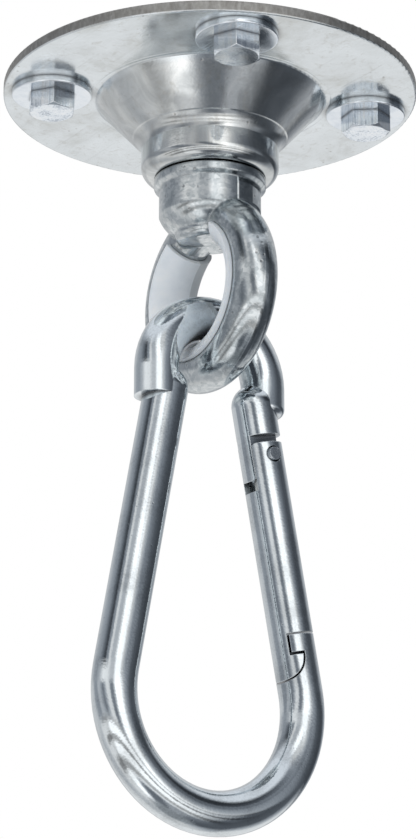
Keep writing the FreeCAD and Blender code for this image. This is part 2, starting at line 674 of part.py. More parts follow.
def make_snap_hook():
    """The bent bar of the snap hook and, cut from the same bar, its gate."""
    far = "wire_diameter"
    leg_section = wire_section("leg_section", "leg_end", "leg_end_depth", "leg_angle")
    loop_section = wire_section("loop_section", "loop_radius", "shoulder_depth", "0")
    legs = rod("legs_and_bow", leg_section, bow_path())
    loop = doc.addObject("Part::Fillet", "loop_end_rounding")
    loop.Base = rod("top_loop", loop_section, loop_path())
    doc.recompute()
    rim = circle_at("wire_diameter / 2", "-shoulder_depth")
    loop.Edges = [(number, value("shoulder_round"), value("shoulder_round"))
                  for number, line in enumerate(loop.Base.Shape.Edges, start=1)
                  if rim(line) and line.Curve.Center.x > 0]
    ends = []
    for side in (-1, 1):
        end = solid("Part::Sphere", f"leg_end_{(side + 1) // 2}", Radius="wire_diameter / 2")
        bind(end, place_x=f"{side} * leg_end", place_z="-leg_end_depth")
        ends.append(end)
    bar = join("Part::MultiFuse", "hook_bar", legs, loop, *ends)

    window = slab("gate_window", sketch_on_leg("window_outline", [
        (f"-{far}", "-stub_length"),
        (far, "-stub_length"),
        (far, "-latch_depth"),
        ("-latch_head_reach", "-latch_depth"),
        ("-latch_head_reach", "-latch_depth - latch_head"),
        ("latch_gap - claw_reach", "-latch_depth - latch_head"),
        *latch_claw("latch_gap"),
        (f"-{far}", "-claw_bottom - latch_gap"),
    ]), far)
    tongue = slab("tongue_plate", sketch_on_leg("tongue_outline", [
        (f"-{far}", "-stub_length / 2"),
        ("pivot_offset + tongue_round", "-stub_length / 2"),
        ("pivot_offset + tongue_round", "-pivot_depth", "pivot_offset + tongue_round * sqrt(0.5)",
         "-pivot_depth - tongue_round * sqrt(0.5)"),
        ("pivot_offset", "-pivot_depth - tongue_round"),
        ("-wire_diameter / 2", "-pivot_depth - tongue_drop"),
        (f"-{far}", "-pivot_depth - tongue_drop"),
    ]), "tongue_thickness / 2")
    milled = join("Part::Common", "milled_tongue", legs, tongue)
    cut_bar = join("Part::Cut", "windowed_bar", bar, window)
    whole = join("Part::MultiFuse", "hook_with_tongue", cut_bar, milled)
    tongue_hole = rivet_hole("tongue_hole", "rivet_diameter / 2 + rivet_press")
    body = join("Part::Cut", "carabiner_body", whole, tongue_hole)

    outline = slab("gate_plate", sketch_on_leg("gate_outline", [
        (f"-{far}", "-gate_top - gate_corner - wire_diameter / 2"),
        ("-wire_diameter / 2 + gate_corner", "-gate_top"),
        (far, "-gate_top"),
        (far, "-latch_depth + latch_gap"),
        ("-latch_head_reach - latch_gap", "-latch_depth + latch_gap"),
        ("-latch_head_reach - latch_gap", "-claw_top"),
        *latch_claw("0"),
        (f"-{far}", "-claw_bottom"),
    ]), far)
    blank = join("Part::Common", "gate_blank", legs, outline)
    slot = slab("gate_slot", sketch_on_leg("slot_outline", [
        (f"-{far}", "-stub_length"),
        (far, "-stub_length"),
        (far, "-pivot_depth - slot_outer_drop"),
        (f"-{far}", "-pivot_depth - slot_inner_drop"),
    ]), "tongue_thickness / 2 + tongue_clearance")
    bore = solid("Part::Cylinder", "gate_bore", Radius="bore_diameter / 2",
                 Height="bore_end - slot_outer_drop")
    along_leg(bore, "-pivot_depth - bore_end")
    seats = [rivet_seat(f"rivet_seat_{(side + 1) // 2}", side) for side in (-1, 1)]
    cuts = join("Part::MultiFuse", "gate_cuts", slot, bore,
                rivet_hole("gate_rivet_hole", "rivet_diameter / 2 + rivet_fit"), *seats)
    gate = join("Part::Cut", "carabiner_gate", blank, cuts)
    return body, gate


def along_leg(item, height):
    """Stand an object on the gate's bore, at a height in the right leg's frame."""
    return into_leg(item, "-bore_offset", height, tilt="-90")


def rivet_hole(name, radius):
    """A cylinder along the rivet, right through the bar."""
    hole = solid("Part::Cylinder", name, Radius=radius, Height="2 * wire_diameter")
    return into_leg(hole, "pivot_offset", "-pivot_depth", "-wire_diameter")


def rivet_seat(name, side):
    """The flat recess for a rivet head on one cheek of the gate."""
    seat = solid("Part::Cylinder", name, Radius="rivet_head_diameter / 2 + rivet_fit", Height="wire_diameter")
    low = "sqrt((wire_diameter / 2) ^ 2 - pivot_offset ^ 2) - rivet_seat_depth"
    start = low if side > 0 else f"-({low}) - wire_diameter"
    return into_leg(seat, "pivot_offset", "-pivot_depth", start)


def make_gate_rivet():
    """Rivet through both cheeks, with low domed heads in their recesses."""
    seat = "(sqrt((wire_diameter / 2) ^ 2 - pivot_offset ^ 2) - rivet_seat_depth + rivet_fit)"
    head = "(rivet_seat_depth + rivet_dome)"
    shaft = solid("Part::Cylinder", "rivet_shaft", Radius="rivet_diameter / 2", Height=f"2 * {seat}")
    into_leg(shaft, "pivot_offset", "-pivot_depth", f"-{seat}")
    pieces = [shaft]
    for side in (-1, 1):
        cap = solid("Part::Cone", f"rivet_head_{(side + 1) // 2}", Radius1="rivet_head_diameter / 2",
                    Radius2="rivet_head_diameter / 2 - rivet_dome", Height=head)
        spin = "0" if side > 0 else "180"
        into_leg(cap, "pivot_offset", "-pivot_depth", f"{side} * {seat}", spin)
        pieces.append(cap)
    return join("Part::MultiFuse", "gate_rivet", *pieces)


def make_gate_plunger():
    """Round-nosed plunger that presses on the tongue."""
    stem = solid("Part::Cylinder", "plunger_stem", Radius="plunger_round",
                 Height="plunger_end - plunger_centre")
    along_leg(stem, "-pivot_depth - plunger_end")
    nose = solid("Part::Sphere", "plunger_nose", Radius="plunger_round")
    along_leg(nose, "-pivot_depth - plunger_centre")
    return join("Part::MultiFuse", "gate_plunger", stem, nose)


def make_gate_spring():
    """Compression spring between the plunger and the end of the bore."""
    coil = solid("Part::Helix", "spring_line", Pitch="spring_height / spring_turns", Height="spring_height",
                 Radius="spring_diameter / 2 - spring_wire / 2")
    wire = upright_sketch("spring_section")
    ring(wire, "spring_diameter / 2 - spring_wire / 2", "0", "spring_wire / 2")
    doc.recompute()
    spring = doc.addObject("Part::Sweep", "gate_spring")
    spring.Sections = [wire]
    spring.Spine = (coil, ["Edge1"])
    spring.Solid = True
    spring.Frenet = True
    along_leg(spring, "-pivot_depth - bore_end + spring_seat + spring_wire / 2")
    return spring


def make_all():
    """Build every sub-part; each is named as its file will be."""
    return [
        make_mounting_plate(),
        make_mounting_bolts(),
        make_mounting_washers(),
        make_race("bearing_lower_race", "shank_diameter / 2 + race_running_gap", "-bearing_floor", 1),
        make_race("bearing_upper_race", "shank_diameter / 2 + race_seat_gap", "-nut_seat", -1),
        make_bearing_cage(),
        make_bearing_balls(),
        make_swivel_eye(),
        make_castle_nut(),
        make_split_pin(),
        make_eye_bush(),
        *make_snap_hook(),
        make_gate_rivet(),
        make_gate_plunger(),
        make_gate_spring(),
    ]


def check(parts):
    """Stop if anything in the document failed or a sub-part has no sound shape."""
    failed = [item.Name for item in doc.Objects if {"Invalid", "Error"} & set(item.State)]
    unsound = [part.Label for part in parts if part.Shape.isNull() or not part.Shape.isValid()]
    if failed or unsound:
        raise RuntimeError(f"failed objects: {failed}; unsound shapes: {unsound}")
    groups = {"mounting_bolts", "mounting_washers", "bearing_balls"}
    split = [part.Label for part in parts if part.Label not in groups and len(part.Shape.Solids) != 1]
    if split:
        raise RuntimeError(f"not one solid: {split}")


fill_sheet()
sub_parts = make_all()
doc.recompute()
check(sub_parts)
os.makedirs("parts", exist_ok=True)
for sub_part in sub_parts:
    sub_part.Shape.exportStep(os.path.join("parts", f"{sub_part.Label}.step"))
    print(sub_part.Label, len(sub_part.Shape.Solids), "solids", round(sub_part.Shape.Volume, 1), "mm3")
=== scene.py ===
"""Looks of the ceiling hook: zinc-plated steel on a pale studio floor, seen from below."""

import math

import bpy
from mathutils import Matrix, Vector


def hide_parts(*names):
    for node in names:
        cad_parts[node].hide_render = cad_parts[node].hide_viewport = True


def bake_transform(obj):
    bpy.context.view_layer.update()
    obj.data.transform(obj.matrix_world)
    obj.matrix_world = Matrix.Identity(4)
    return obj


MM = 0.001

# The camera as fitted to the photograph; the lens and sensor are in millimetres
VIEW_AZIMUTH = math.radians(-34.0)
VIEW_RISE = math.radians(17.8)
VIEW_DISTANCE = 0.85
VIEW_HEIGHT = -0.1048
VIEW_SIDE = -0.0006
VIEW_LENS = 124.65
SENSOR = 36.0

FLOOR_HEIGHT = -2.4
FLOOR_SIZE = 40.0
FLOOR_GLOW = 0.4

# Places on the part where a finish changes; heights are measured from the ceiling
PLATE_RADIUS = 62.5 * MM
PLATE_FACE = -3.5 * MM
DOME_LINE = 36.3 * MM
CUP_TOP = -20.2 * MM
BOLT_RADIUS = 48.15 * MM
BOLT_ANGLE = math.radians(-24.8)
BOLT_STEP = math.radians(90.0)
WASHER_RADIUS = 12.0 * MM
BOLT_PITCH = 1.25 * MM
BOLT_THREAD_FOOT = 0.6 * MM
NECK_RADIUS = 15.3 * MM
NECK_TOP = -33.2 * MM
NECK_BOTTOM = -43.0 * MM
FACET_WIDTH = math.radians(23.0)
FACET_START = math.radians(33.0)
SHANK_RADIUS = 8.3 * MM
SHANK_FOOT = -17.0 * MM
SHANK_PITCH = 2.0 * MM
PARTING_TOP = -46.0 * MM
PARTING_BOTTOM = -52.0 * MM
RING_DEPTH = 66.0 * MM
RING_RADIUS = 23.0 * MM
LINER_FOLD = math.radians(14.0)

WHITE = (1.0, 1.0, 1.0)
# Painted shade: the near-black that crevices and gaps are darkened towards
CREVICE_SHADE_TONE = (0.05, 0.05, 0.055)
# Dirt in pits, and painted shade round the washers
DIRT_AND_SHADE = (0.33, 0.31, 0.28)
SMEAR = (0.50, 0.49, 0.45)
SCRATCH = (0.42, 0.42, 0.41)
SPECK = (0.24, 0.26, 0.29)
PIT = (0.25, 0.25, 0.25)
# Painted shade in thread grooves
THREAD_GROOVE_SHADE = (0.16, 0.17, 0.19)
# Painted shade on the liner's flange
FLANGE_SHADE = (0.56, 0.59, 0.61)
BLUE_ZINC = (0.78, 0.83, 0.86)
RIVET_ZINC = (0.62, 0.66, 0.70)
NUT_ZINC = (0.74, 0.77, 0.81)
PIN_ZINC = (0.66, 0.67, 0.68)
RACE_STEEL = (0.62, 0.63, 0.65)
BALL_CHROME = (0.80, 0.81, 0.83)
CAGE_BRASS = (0.72, 0.54, 0.28)
PLUNGER_STEEL = (0.74, 0.76, 0.75)
SPRING_STEEL = (0.50, 0.51, 0.53)

# Colours along a noise value, dull to bright
PLATE_FLAT = ((0.3, (0.58, 0.60, 0.59)), (0.46, (0.75, 0.79, 0.81)), (0.7, (0.86, 0.91, 0.94)))
PLATE_DRAWN = ((0.3, (0.46, 0.48, 0.49)), (0.5, (0.66, 0.685, 0.69)), (0.7, (0.85, 0.86, 0.85)))
PLATE_RIM = ((0.3, (0.30, 0.285, 0.265)), (0.52, (0.42, 0.41, 0.39)), (0.75, (0.58, 0.57, 0.55)))
EYE_GREY = ((0.3, (0.43, 0.47, 0.49)), (0.48, (0.55, 0.59, 0.61)), (0.68, (0.72, 0.75, 0.76)))
LINER_WHITE = ((0.3, (0.74, 0.79, 0.84)), (0.55, (0.82, 0.86, 0.90)), (0.75, (0.88, 0.90, 0.92)))
WASHER_BLUE = ((0.3, (0.74, 0.80, 0.87)), (0.5, (0.86, 0.91, 0.96)), (0.7, (0.92, 0.95, 0.98)))
BOLT_BLUE = ((0.36, (0.42, 0.47, 0.54)), (0.48, (0.82, 0.88, 0.94)), (0.62, (0.95, 0.97, 0.99)))
FLOOR_PAPER = ((0.3, (0.84, 0.84, 0.84)), (0.7, (0.87, 0.87, 0.87)))

# What the metal mirrors, in rows by height. Each entry is a bearing in degrees and a brightness; the
# bearing is 0 towards the camera and grows to the right.
PANELS_HIGH = (
    (-180, 0.45), (-135, 0.44), (-103, 0.27), (-81, 0.21), (-64, 0.11), (-52, 0.05), (-45, 0.05),
    (-38, 0.20), (-30, 0.22), (-25, 0.55), (-19, 0.55), (-13, 0.36), (1, 0.36), (7, 0.60), (13, 1.0),
    (25, 1.0), (29, 0.56), (41, 0.50), (48, 0.33), (56, 0.21), (66, 0.12), (76, 0.06), (88, 0.03),
    (102, 0.03), (112, 0.10), (120, 0.22), (138, 0.42), (180, 0.45))
PANELS_LEVEL = (
    (-180, 0.45), (-140, 0.40), (-120, 0.28), (-97, 0.25), (-76, 0.36), (-58, 0.66), (-34, 0.62),
    (-18, 0.42), (-4, 0.42), (6, 0.90), (26, 0.90), (34, 0.50), (42, 0.36), (52, 0.20), (63, 0.15),
    (76, 0.09), (90, 0.06), (112, 0.07), (138, 0.34), (180, 0.45))
PANELS_MID = (
    (-180, 0.45), (-146, 0.47), (-127, 0.42), (-115, 0.24), (-99, 0.22), (-90, 0.36), (-80, 0.34),
    (-70, 0.22), (-63, 0.14), (-56, 0.24), (-50, 0.34), (-42, 0.58), (-30, 0.56), (-23, 0.20),
    (-14, 0.15), (-8, 0.28), (-3, 0.50), (3, 1.0), (29, 1.0), (36, 0.72), (44, 0.42), (52, 0.29),
    (63, 0.19), (78, 0.08), (98, 0.05), (116, 0.05), (126, 0.12), (144, 0.31), (165, 0.42), (180, 0.45))
PANELS_LOW = (
    (-180, 0.62), (-150, 0.60), (-134, 0.50), (-120, 0.38), (-104, 0.42), (-92, 0.56), (-72, 0.58),
    (-56, 0.50), (-44, 0.90), (54, 0.90), (66, 0.40), (78, 0.09), (90, 0.06), (116, 0.08), (132, 0.30),
    (148, 0.58), (180, 0.62))
PANELS_NADIR = (
    (-180, 0.50), (-130, 0.40), (-108, 0.44), (-92, 0.56), (-66, 0.60), (-54, 0.95), (-34, 0.95),
    (-20, 0.26), (-6, 0.13), (22, 0.13), (34, 0.30), (54, 0.30), (66, 0.15), (90, 0.08), (120, 0.07),
    (150, 0.30), (180, 0.50))
# Dark bars across the low panels in front of the part: a height and the share of light left there
DARK_BARS = (
    (-1.0, 1.0), (-0.78, 1.0), (-0.71, 0.40), (-0.65, 0.40), (-0.58, 1.0), (-0.47, 1.0), (-0.43, 0.35),
    (-0.38, 0.35), (-0.34, 1.0), (-0.25, 1.0), (-0.21, 0.45), (-0.16, 0.45), (-0.12, 1.0))
FRONT_HALF = (0.21, 0.26)
PANEL_SLANT = 0.16
PANEL_HEIGHT = 0.28
PANEL_GAIN = 1.35
POLE_TONE = (0.22, 0.235, 0.25)
ZENITH_TONE = (0.55, 0.57, 0.60)
ROOM_TONE = (0.5, 0.51, 0.52)

# Soft lamps: place to the right of, beyond and above the part's middle, then size, power and colour
LAMP_TARGET = Vector((0.0, 0.0, -0.1))
LAMPS = {
    "key": ((-0.55, -1.1, 0.15), (0.35, 0.8), 4.0, WHITE),
    "low_fill": ((0.0, -0.5, -0.45), (0.8, 0.4), 0.8, (0.96, 0.98, 1.0)),
    "top": ((-0.9, 0.2, 0.8), (0.6, 0.6), 3.0, WHITE),
}

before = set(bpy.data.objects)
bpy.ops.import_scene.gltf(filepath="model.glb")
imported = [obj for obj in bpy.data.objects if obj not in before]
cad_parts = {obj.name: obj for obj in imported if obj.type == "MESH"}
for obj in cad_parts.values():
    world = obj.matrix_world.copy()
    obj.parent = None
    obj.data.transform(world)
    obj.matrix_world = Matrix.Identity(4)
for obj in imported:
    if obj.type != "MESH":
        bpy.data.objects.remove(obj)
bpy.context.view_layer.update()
view_right = Vector((math.cos(VIEW_AZIMUTH), math.sin(VIEW_AZIMUTH), 0.0))
view_level = Vector((-math.sin(VIEW_AZIMUTH), math.cos(VIEW_AZIMUTH), 0.0))


class Nodes:
    """Short forms for building a node tree."""

    def __init__(self, tree):
        self.tree = tree
        tree.nodes.clear()

    def add(self, kind, **settings):
        made = self.tree.nodes.new(kind)
        for name, setting in settings.items():
            setattr(made, name, setting)
        return made

    def feed(self, socket, source):
        """Give an input a link or a constant."""
        if isinstance(source, bpy.types.NodeSocket):
            self.tree.links.new(source, socket)
        else:
            socket.default_value = source

    def math(self, operation, first, second=0.0):
        made = self.add("ShaderNodeMath", operation=operation)
        self.feed(made.inputs[0], first)
        self.feed(made.inputs[1], second)
        return made.outputs[0]

    def plus(self, first, second):
        return self.math("ADD", first, second)

    def less(self, first, second):
        return self.math("SUBTRACT", first, second)

    def times(self, first, second):
        return self.math("MULTIPLY", first, second)

    def weigh(self, first, first_share, second, second_share):
        return self.plus(self.times(first, first_share), self.times(second, second_share))

    def vector(self, operation, first, second=(0.0, 0.0, 0.0)):
        made = self.add("ShaderNodeVectorMath", operation=operation)
        self.feed(made.inputs[0], first)
        self.feed(made.inputs[1], second)
        return made.outputs["Value" if operation in ("DOT_PRODUCT", "LENGTH") else "Vector"]

    def split(self, vector):
        made = self.add("ShaderNodeSeparateXYZ")
        self.feed(made.inputs[0], vector)
        return made.outputs

    def combine(self, x, y, z):
        made = self.add("ShaderNodeCombineXYZ")
        for socket, source in zip(made.inputs, (x, y, z)):
            self.feed(socket, source)
        return made.outputs[0]

    def span(self, source, low, high, to_low, to_high):
        """Map a range of values smoothly to another, held at both ends."""
        made = self.add("ShaderNodeMapRange", interpolation_type="SMOOTHSTEP")
        for socket, given in zip(made.inputs, (source, low, high, to_low, to_high)):
            self.feed(socket, given)
        return made.outputs[0]

    def rise(self, source, low, high):
        return self.span(source, low, high, 0.0, 1.0)

    def fall(self, source, low, high):
        return self.span(source, low, high, 1.0, 0.0)

    def ramp(self, source, stops):
        """Colours along a value; each stop is a place and a colour."""
        made = self.add("ShaderNodeValToRGB")
        marks = made.color_ramp.elements
        while len(marks) < len(stops):
            marks.new(0.5)
        for mark, (place, colour) in zip(marks, stops):
            mark.position = place
            mark.color = (*colour, 1.0)
        self.feed(made.inputs[0], source)
        return made.outputs[0]

    def mix(self, share, first, second, blend="MIX"):
        made = self.add("ShaderNodeMix", data_type="RGBA", blend_type=blend)
        self.feed(made.inputs[0], share)
        for socket, source in ((made.inputs[6], first), (made.inputs[7], second)):
            self.feed(socket, (*source, 1.0) if isinstance(source, tuple) else source)
        return made.outputs[2]


class Finish(Nodes):
    """A surface material in object coordinates, with edges softened at render time."""

    def __init__(self, name, edge=0.0):
        self.material = bpy.data.materials.new(name)
        self.material.use_nodes = True
        super().__init__(self.material.node_tree)
        self.place = self.add("ShaderNodeTexCoord").outputs["Object"]
        self.x, self.y, self.z = self.split(self.place)
        self.surface = self.add("ShaderNodeBsdfPrincipled")
        output = self.add("ShaderNodeOutputMaterial")
        self.tree.links.new(self.surface.outputs[0], output.inputs["Surface"])
        self.normal = None
        if edge:
            bevel = self.add("ShaderNodeBevel", samples=6)
            bevel.inputs["Radius"].default_value = edge
            self.normal = bevel.outputs[0]

    def from_axis(self):
        """Distance from the part's upright axis."""
        return self.vector("LENGTH", self.combine(self.x, self.y, 0.0))

    def noise(self, scale, detail=2.0, roughness=0.5, distortion=0.0, place=None):
        made = self.add("ShaderNodeTexNoise")
        self.feed(made.inputs["Vector"], place or self.place)
        made.inputs["Scale"].default_value = scale
        made.inputs["Detail"].default_value = detail
        made.inputs["Roughness"].default_value = roughness
        made.inputs["Distortion"].default_value = distortion
        return made.outputs[0]

    def cells(self, scale, output="Distance"):
        made = self.add("ShaderNodeTexVoronoi")
        self.feed(made.inputs["Vector"], self.place)
        made.inputs["Scale"].default_value = scale
        return made.outputs[output]

    def stretch(self, scale, turn=0.0):
        """Coordinates scaled along each axis, after a turn about the upright one."""
        made = self.add("ShaderNodeMapping")
        self.feed(made.inputs["Vector"], self.place)
        made.inputs["Rotation"].default_value = (0.0, 0.0, turn)
        made.inputs["Scale"].default_value = scale
        return made.outputs[0]

    def spots(self, scale, small, large, patch_scale, patch_low, patch_high):
        """Round spots that come in patches."""
        return self.times(self.fall(self.cells(scale), small, large),
                          self.rise(self.noise(patch_scale, detail=1.0), patch_low, patch_high))

    def scratches(self, scale):
        """Thin hairlines in three directions."""
        total = None
        for turn in (0.4, 1.5, 2.6):
            lines = self.noise(scale, detail=3.0, roughness=0.6, place=self.stretch((1.0, 0.03, 0.3), turn))
            thin = self.rise(lines, 0.62, 0.72)
            total = thin if total is None else self.math("MAXIMUM", total, thin)
        return total

    def thread(self, height, turn, pitch):
        """A rolled thread's height, from a place along its axis and an angle round it."""
        return self.math("PINGPONG", self.less(self.math("DIVIDE", height, pitch),
                                               self.math("DIVIDE", turn, 2 * math.pi)), 0.5)

    def paint_crevice_shade(self, colour, reach, depth):
        """Paint shade into a colour where surfaces close in on each other: painted crevice shade from an
        occlusion node, darkened towards near-black.
        """
        near = self.add("ShaderNodeAmbientOcclusion", samples=8)
        near.inputs["Distance"].default_value = reach
        return self.mix(self.span(near.outputs["AO"], 0.3, 0.88, depth, 0.0), colour, CREVICE_SHADE_TONE)

    def relief(self, height, distance, strength):
        """Lay one more layer of bump over those before it."""
        made = self.add("ShaderNodeBump")
        made.inputs["Strength"].default_value = strength
        made.inputs["Distance"].default_value = distance
        self.feed(made.inputs["Height"], height)
        if self.normal is not None:
            self.feed(made.inputs["Normal"], self.normal)
        self.normal = made.outputs[0]

    def done(self, sockets):
        """Feed the shader's sockets and hand over the material."""
        for label, source in sockets.items():
            self.feed(self.surface.inputs[label], source)
        if self.normal is not None:
            self.feed(self.surface.inputs["Normal"], self.normal)
        return self.material

    def metal(self, colour, roughness, metallic=1.0):
        return self.done({"Base Color": colour, "Metallic": metallic, "Roughness": roughness})


def bolt_place(look):
    """Offsets from the nearest bolt's axis, along the plate's radius and across it."""
    angle = look.less(look.math("ARCTAN2", look.y, look.x), BOLT_ANGLE)
    half = BOLT_STEP / 2
    folded = look.less(look.math("FLOORED_MODULO", look.plus(angle, half), BOLT_STEP), half)
    radius = look.from_axis()
    radial = look.less(look.times(radius, look.math("COSINE", folded)), BOLT_RADIUS)
    return radial, look.times(radius, look.math("SINE", folded))


def plate_finish():
    """Rolled, zinc-plated sheet: bright flat, satin drawn cone, brown sheared rim, with painted shade round the
    washers and in crevices.
    """
    look = Finish("plate_zinc", 0.3 * MM)
    z, radius = look.z, look.from_axis()
    near_bolt = look.vector("LENGTH", look.combine(*bolt_place(look), 0.0))
    deep = look.fall(z, PLATE_FACE - 2.0 * MM, PLATE_FACE - 0.4 * MM)
    rim = look.times(look.rise(radius, PLATE_RADIUS - 0.5 * MM, PLATE_RADIUS - 0.15 * MM),
                     look.rise(z, PLATE_FACE + 0.25 * MM, PLATE_FACE + 0.7 * MM))
    # Painted shade: a dark ring on the plate face round each washer
    washer_shade = look.times(look.fall(near_bolt, WASHER_RADIUS, WASHER_RADIUS + 2.2 * MM),
                       look.fall(z, PLATE_FACE - 0.2 * MM, PLATE_FACE + 0.2 * MM))

    mottle = look.noise(42.0, detail=5.0, roughness=0.62, distortion=0.4)
    blotch = look.noise(95.0, detail=3.0, distortion=0.8, place=look.stretch((1.0, 1.0, 0.4)))
    grain = look.noise(1500.0, roughness=0.6)
    sheared = look.noise(800.0, detail=4.0, roughness=0.7, place=look.stretch((1.0, 1.0, 0.5)))
    smear = look.noise(300.0, detail=5.0, roughness=0.7, distortion=1.0,
                       place=look.stretch((1.0, 1.0, 0.2), turn=0.9))
    pits = look.spots(330.0, 0.06, 0.16, patch_scale=60.0, patch_low=0.52, patch_high=0.62)
    marks = look.scratches(420.0)

    colour = look.mix(deep, look.ramp(mottle, PLATE_FLAT), look.ramp(blotch, PLATE_DRAWN))
    colour = look.mix(rim, colour, look.ramp(sheared, PLATE_RIM))
    colour = look.mix(look.span(smear, 0.52, 0.70, 0.0, 0.38), colour, SMEAR)
    # Dirt in the pits and painted shade round the washers
    colour = look.mix(look.math("MAXIMUM", look.times(pits, 0.5), look.times(washer_shade, 0.35)), colour, DIRT_AND_SHADE)
    colour = look.mix(look.times(marks, 0.16), colour, SCRATCH)
    # Painted crevice shade on the plate and dome, lighter at the cup's bottom
    painted_cup_shade = look.span(z, CUP_TOP - 7.0 * MM, CUP_TOP - 4.0 * MM, 0.25, 0.7)
    colour = look.paint_crevice_shade(colour, 3.0 * MM, painted_cup_shade)

    rough_flat = look.span(mottle, 0.3, 0.7, 0.10, 0.19)
    cup_polish = look.span(z, CUP_TOP - 3.0 * MM, CUP_TOP, 0.45, 1.0)
    rough_drawn = look.times(look.span(blotch, 0.3, 0.7, 0.23, 0.13), cup_polish)
    rough = look.weigh(rough_flat, look.less(1.0, deep), rough_drawn, deep)
    rough = look.plus(rough, look.times(rim, 0.33))
    satin_top = look.span(z, -0.6 * MM, -0.2 * MM, 0.0, 0.28)
    rough = look.plus(rough, satin_top)
    rough = look.plus(rough, look.times(look.less(grain, 0.5), 0.12))

    look.relief(look.noise(30.0, detail=3.0), 0.4 * MM, 0.3)
    look.relief(look.less(grain, look.times(marks, 0.4)), 0.016 * MM, 0.6)
    draw_rings = look.noise(900.0, place=look.combine(0.0, look.times(radius, 0.3), z))
    look.relief(look.times(draw_rings, deep), 0.02 * MM, 0.5)
    peel = look.noise(620.0, detail=3.0, roughness=0.6)
    look.relief(look.times(peel, deep), 0.018 * MM, 0.6)
    look.relief(look.times(sheared, rim), 0.15 * MM, 0.6)
    look.relief(pits, -0.05 * MM, 0.6)
    off_line = look.math("ABSOLUTE", look.less(radius, DOME_LINE))
    look.relief(look.fall(off_line, 0.1 * MM, 0.5 * MM), 0.10 * MM, 0.7)
    return look.metal(colour, rough)


def bright_zinc(name, tint, low, high, grain_size, edge, crevice_shade_depth, along=(1.0, 1.0, 0.05)):
    """Polished blue-white zinc: fine drawing lines, sparkling grain, a few dull marks and painted shade in
    crevices.
    """
    look = Finish(name, edge)
    cloud = look.noise(70.0, detail=4.0, roughness=0.6, distortion=0.5)
    grain = look.noise(grain_size, roughness=0.55)
    lines = look.noise(1500.0, roughness=0.6, place=look.stretch(along))
    sparkle = look.cells(grain_size * 0.8)
    specks = look.spots(420.0, 0.05, 0.15, patch_scale=90.0, patch_low=0.54, patch_high=0.62)

    dull = tuple(part * 0.72 for part in tint)
    pale = tuple(min(1.0, part * 1.08) for part in tint)
    colour = look.ramp(look.weigh(cloud, 0.7, grain, 0.3), ((0.34, dull), (0.52, tint), (0.7, pale)))
    colour = look.mix(look.times(specks, 0.45), colour, SPECK)
    # Painted shade in crevices and gaps
    colour = look.paint_crevice_shade(colour, 3.2 * MM, crevice_shade_depth)
    rough = look.span(look.weigh(cloud, 0.6, grain, 0.4), 0.32, 0.68, low, high)

    look.relief(look.noise(120.0), 0.10 * MM, 0.22)
    look.relief(look.weigh(grain, 0.7, sparkle, 0.3), 0.021 * MM, 0.8)
    look.relief(lines, 0.008 * MM, 0.5)
    look.relief(specks, -0.04 * MM, 0.5)
    return look.metal(colour, rough)


def neck_flats(look):
    """The hammered flats on the right of the eye's neck, as a height in neck radii."""
    around = look.math("ARCTAN2", look.vector("DOT_PRODUCT", look.place, tuple(view_right)),
                       look.vector("DOT_PRODUCT", look.place, tuple(-view_level)))
    off_edge = look.math("FLOORED_MODULO", look.less(around, FACET_START), FACET_WIDTH)
    off_middle = look.less(off_edge, FACET_WIDTH / 2)
    flat = look.math("DIVIDE", math.cos(FACET_WIDTH / 2), look.math("COSINE", off_middle))
    sector = look.times(look.rise(around, FACET_START - 0.02, FACET_START + 0.02), look.fall(around, 1.7, 1.8))
    on_neck = look.times(look.rise(look.z, NECK_TOP, NECK_TOP - 1.5 * MM), sector)
    on_neck = look.times(on_neck, look.rise(look.z, NECK_BOTTOM, NECK_BOTTOM + 3.0 * MM))
    return look.times(flat, on_neck)


def cast_zinc():
    """Galvanised forging: spangled grey with a pebbled skin, flats on the neck, a parting band and painted
    crevice shade.
    """
    look = Finish("eye_galvanised", 0.8 * MM)
    z = look.z
    spangle = look.split(look.cells(900.0, "Color"))[0]
    cloud = look.noise(85.0, detail=5.0, roughness=0.65, distortion=0.6)
    grain = look.noise(900.0, detail=3.0, roughness=0.6)
    shade = look.weigh(cloud, 0.75, spangle, 0.25)
    pits = look.spots(360.0, 0.08, 0.2, patch_scale=110.0, patch_low=0.5, patch_high=0.6)

    colour = look.mix(look.times(pits, 0.5), look.ramp(shade, EYE_GREY), PIT)
    # Painted crevice shade, weaker above the neck's top
    colour = look.paint_crevice_shade(colour, 3.0 * MM, look.span(z, NECK_TOP, NECK_TOP + 2.0 * MM, 0.8, 0.3))

    look.relief(neck_flats(look), NECK_RADIUS, 0.4)
    on_shank = look.times(look.fall(look.from_axis(), SHANK_RADIUS, SHANK_RADIUS + 0.1 * MM),
                          look.rise(z, SHANK_FOOT, SHANK_FOOT + 0.5 * MM))
    thread = look.thread(z, look.math("ARCTAN2", look.y, look.x), SHANK_PITCH)
    look.relief(look.times(thread, on_shank), 1.0 * MM, 1.0)
    look.relief(look.noise(160.0, detail=3.0, roughness=0.6), 0.20 * MM, 0.20)
    look.relief(grain, 0.03 * MM, 0.7)
    parting = look.times(look.fall(look.math("ABSOLUTE", look.x), 0.5 * MM, 1.1 * MM),
                         look.fall(z, PARTING_BOTTOM, PARTING_TOP))
    look.relief(parting, 0.06 * MM, 0.6)
    look.relief(pits, -0.08 * MM, 0.6)
    return look.metal(colour, look.span(shade, 0.3, 0.7, 0.16, 0.08))


